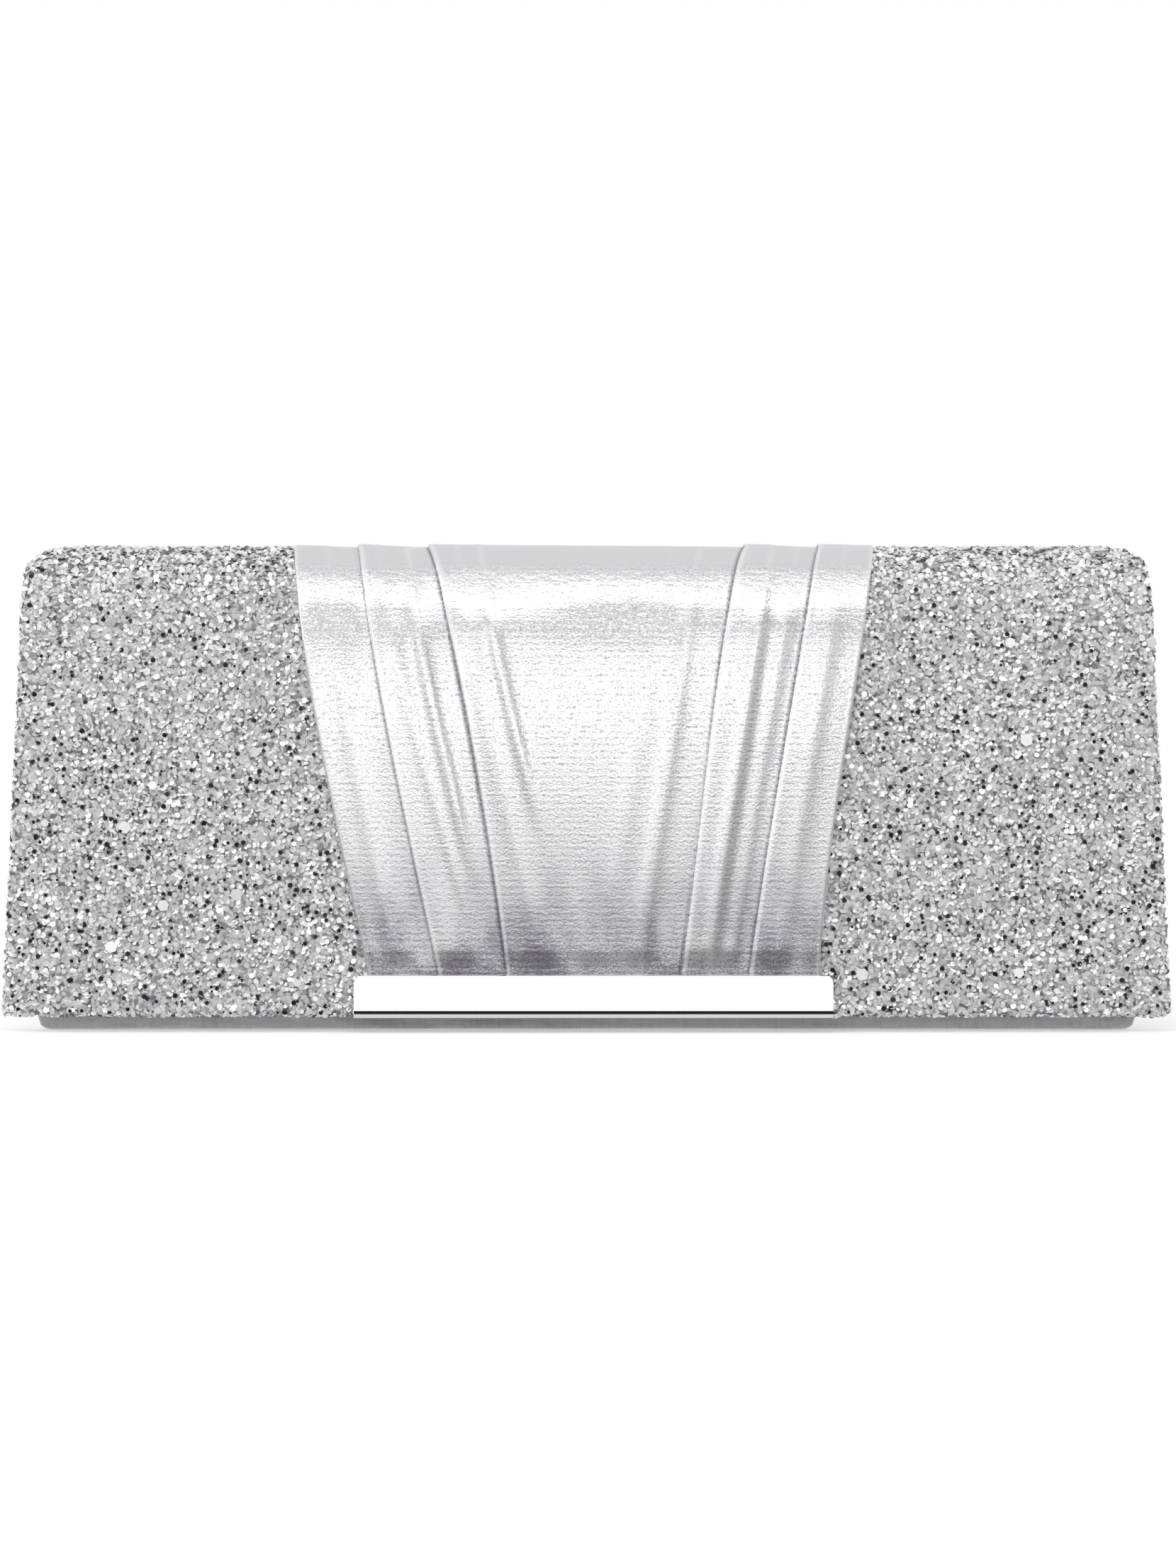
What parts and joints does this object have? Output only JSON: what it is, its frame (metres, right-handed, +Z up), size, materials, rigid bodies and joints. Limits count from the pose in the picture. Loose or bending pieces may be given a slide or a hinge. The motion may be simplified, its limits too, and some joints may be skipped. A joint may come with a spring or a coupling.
{
  "type": "evening clutch bag",
  "caption": "Slim flap-over evening clutch: gusseted body, rigid glitter flap with a pleated band and a clasp bar.",
  "frame": {"origin": "on the table, under the middle of the closed bag's box", "axes": "+Z up, the bag's front towards -Y, +X to the right as seen from the front"},
  "size_m": [0.25, 0.05, 0.105],
  "materials": {
    "glitter_cloth": "coarse glitter",
    "pleated_lame": "metallic, ribbed",
    "satin": "satin",
    "lining": "soft satin",
    "greyboard": "matt board",
    "foam": "soft foam",
    "polished_metal": "polished",
    "plain_steel": "satin",
    "magnet": "matt"
  },
  "bodies": {
    "body": {"back_cover": "satin", "back_board": "greyboard", "back_lining": "lining", "base_cover": "satin", "base_board": "greyboard", "base_lining": "lining", "left_gusset": "satin", "right_gusset": "satin", "slip_pocket": "lining", "left_ring_tab": "lining", "right_ring_tab": "lining", "hinge_cover": "glitter_cloth", "hinge_band": "pleated_lame", "hinge_lining": "lining", "hinge_cord": "satin"},
    "front": {"front_cover": "satin", "front_board": "greyboard", "front_lining": "lining", "snap_socket": "polished_metal", "snap_magnet": "magnet", "socket_base": "plain_steel", "socket_washer": "plain_steel"},
    "flap": {"flap_cover": "glitter_cloth", "flap_foam": "foam", "flap_board": "greyboard", "flap_lining": "lining", "pleated_band": "pleated_lame", "clasp_bar": "polished_metal", "bar_back_plate": "plain_steel", "bar_screws": "plain_steel", "snap_stud": "polished_metal", "stud_washer": "plain_steel"},
    "left_ring": {"left_ring": "polished_metal"},
    "right_ring": {"right_ring": "polished_metal"}
  },
  "joints": [
    {"name": "flap_hinge", "type": "hinge", "parent": "body", "child": "flap", "pos_m": [0, 0.021, 0.09846], "axis": [-1, 0, 0], "range_deg": [0, 190], "deforming": ["hinge_cover", "hinge_band", "hinge_lining"]},
    {"name": "front_panel_tilt", "type": "hinge", "parent": "body", "child": "front", "pos_m": [0, -0.01415, 0.0015], "axis": [1, 0, 0], "range_deg": [0, 8], "deforming": ["left_gusset", "right_gusset"]},
    {"name": "left_ring_swing", "type": "hinge", "parent": "body", "child": "left_ring", "pos_m": [-0.086, 0.0181, 0.084], "axis": [-1, 0, 0], "range_deg": [-8, 150]},
    {"name": "right_ring_swing", "type": "hinge", "parent": "body", "child": "right_ring", "pos_m": [0.086, 0.0181, 0.084], "axis": [-1, 0, 0], "range_deg": [-8, 150]}
  ],
  "couplings": [
    {"joint": "front_panel_tilt", "follows": "flap_hinge", "ratio": 0.04}
  ]
}
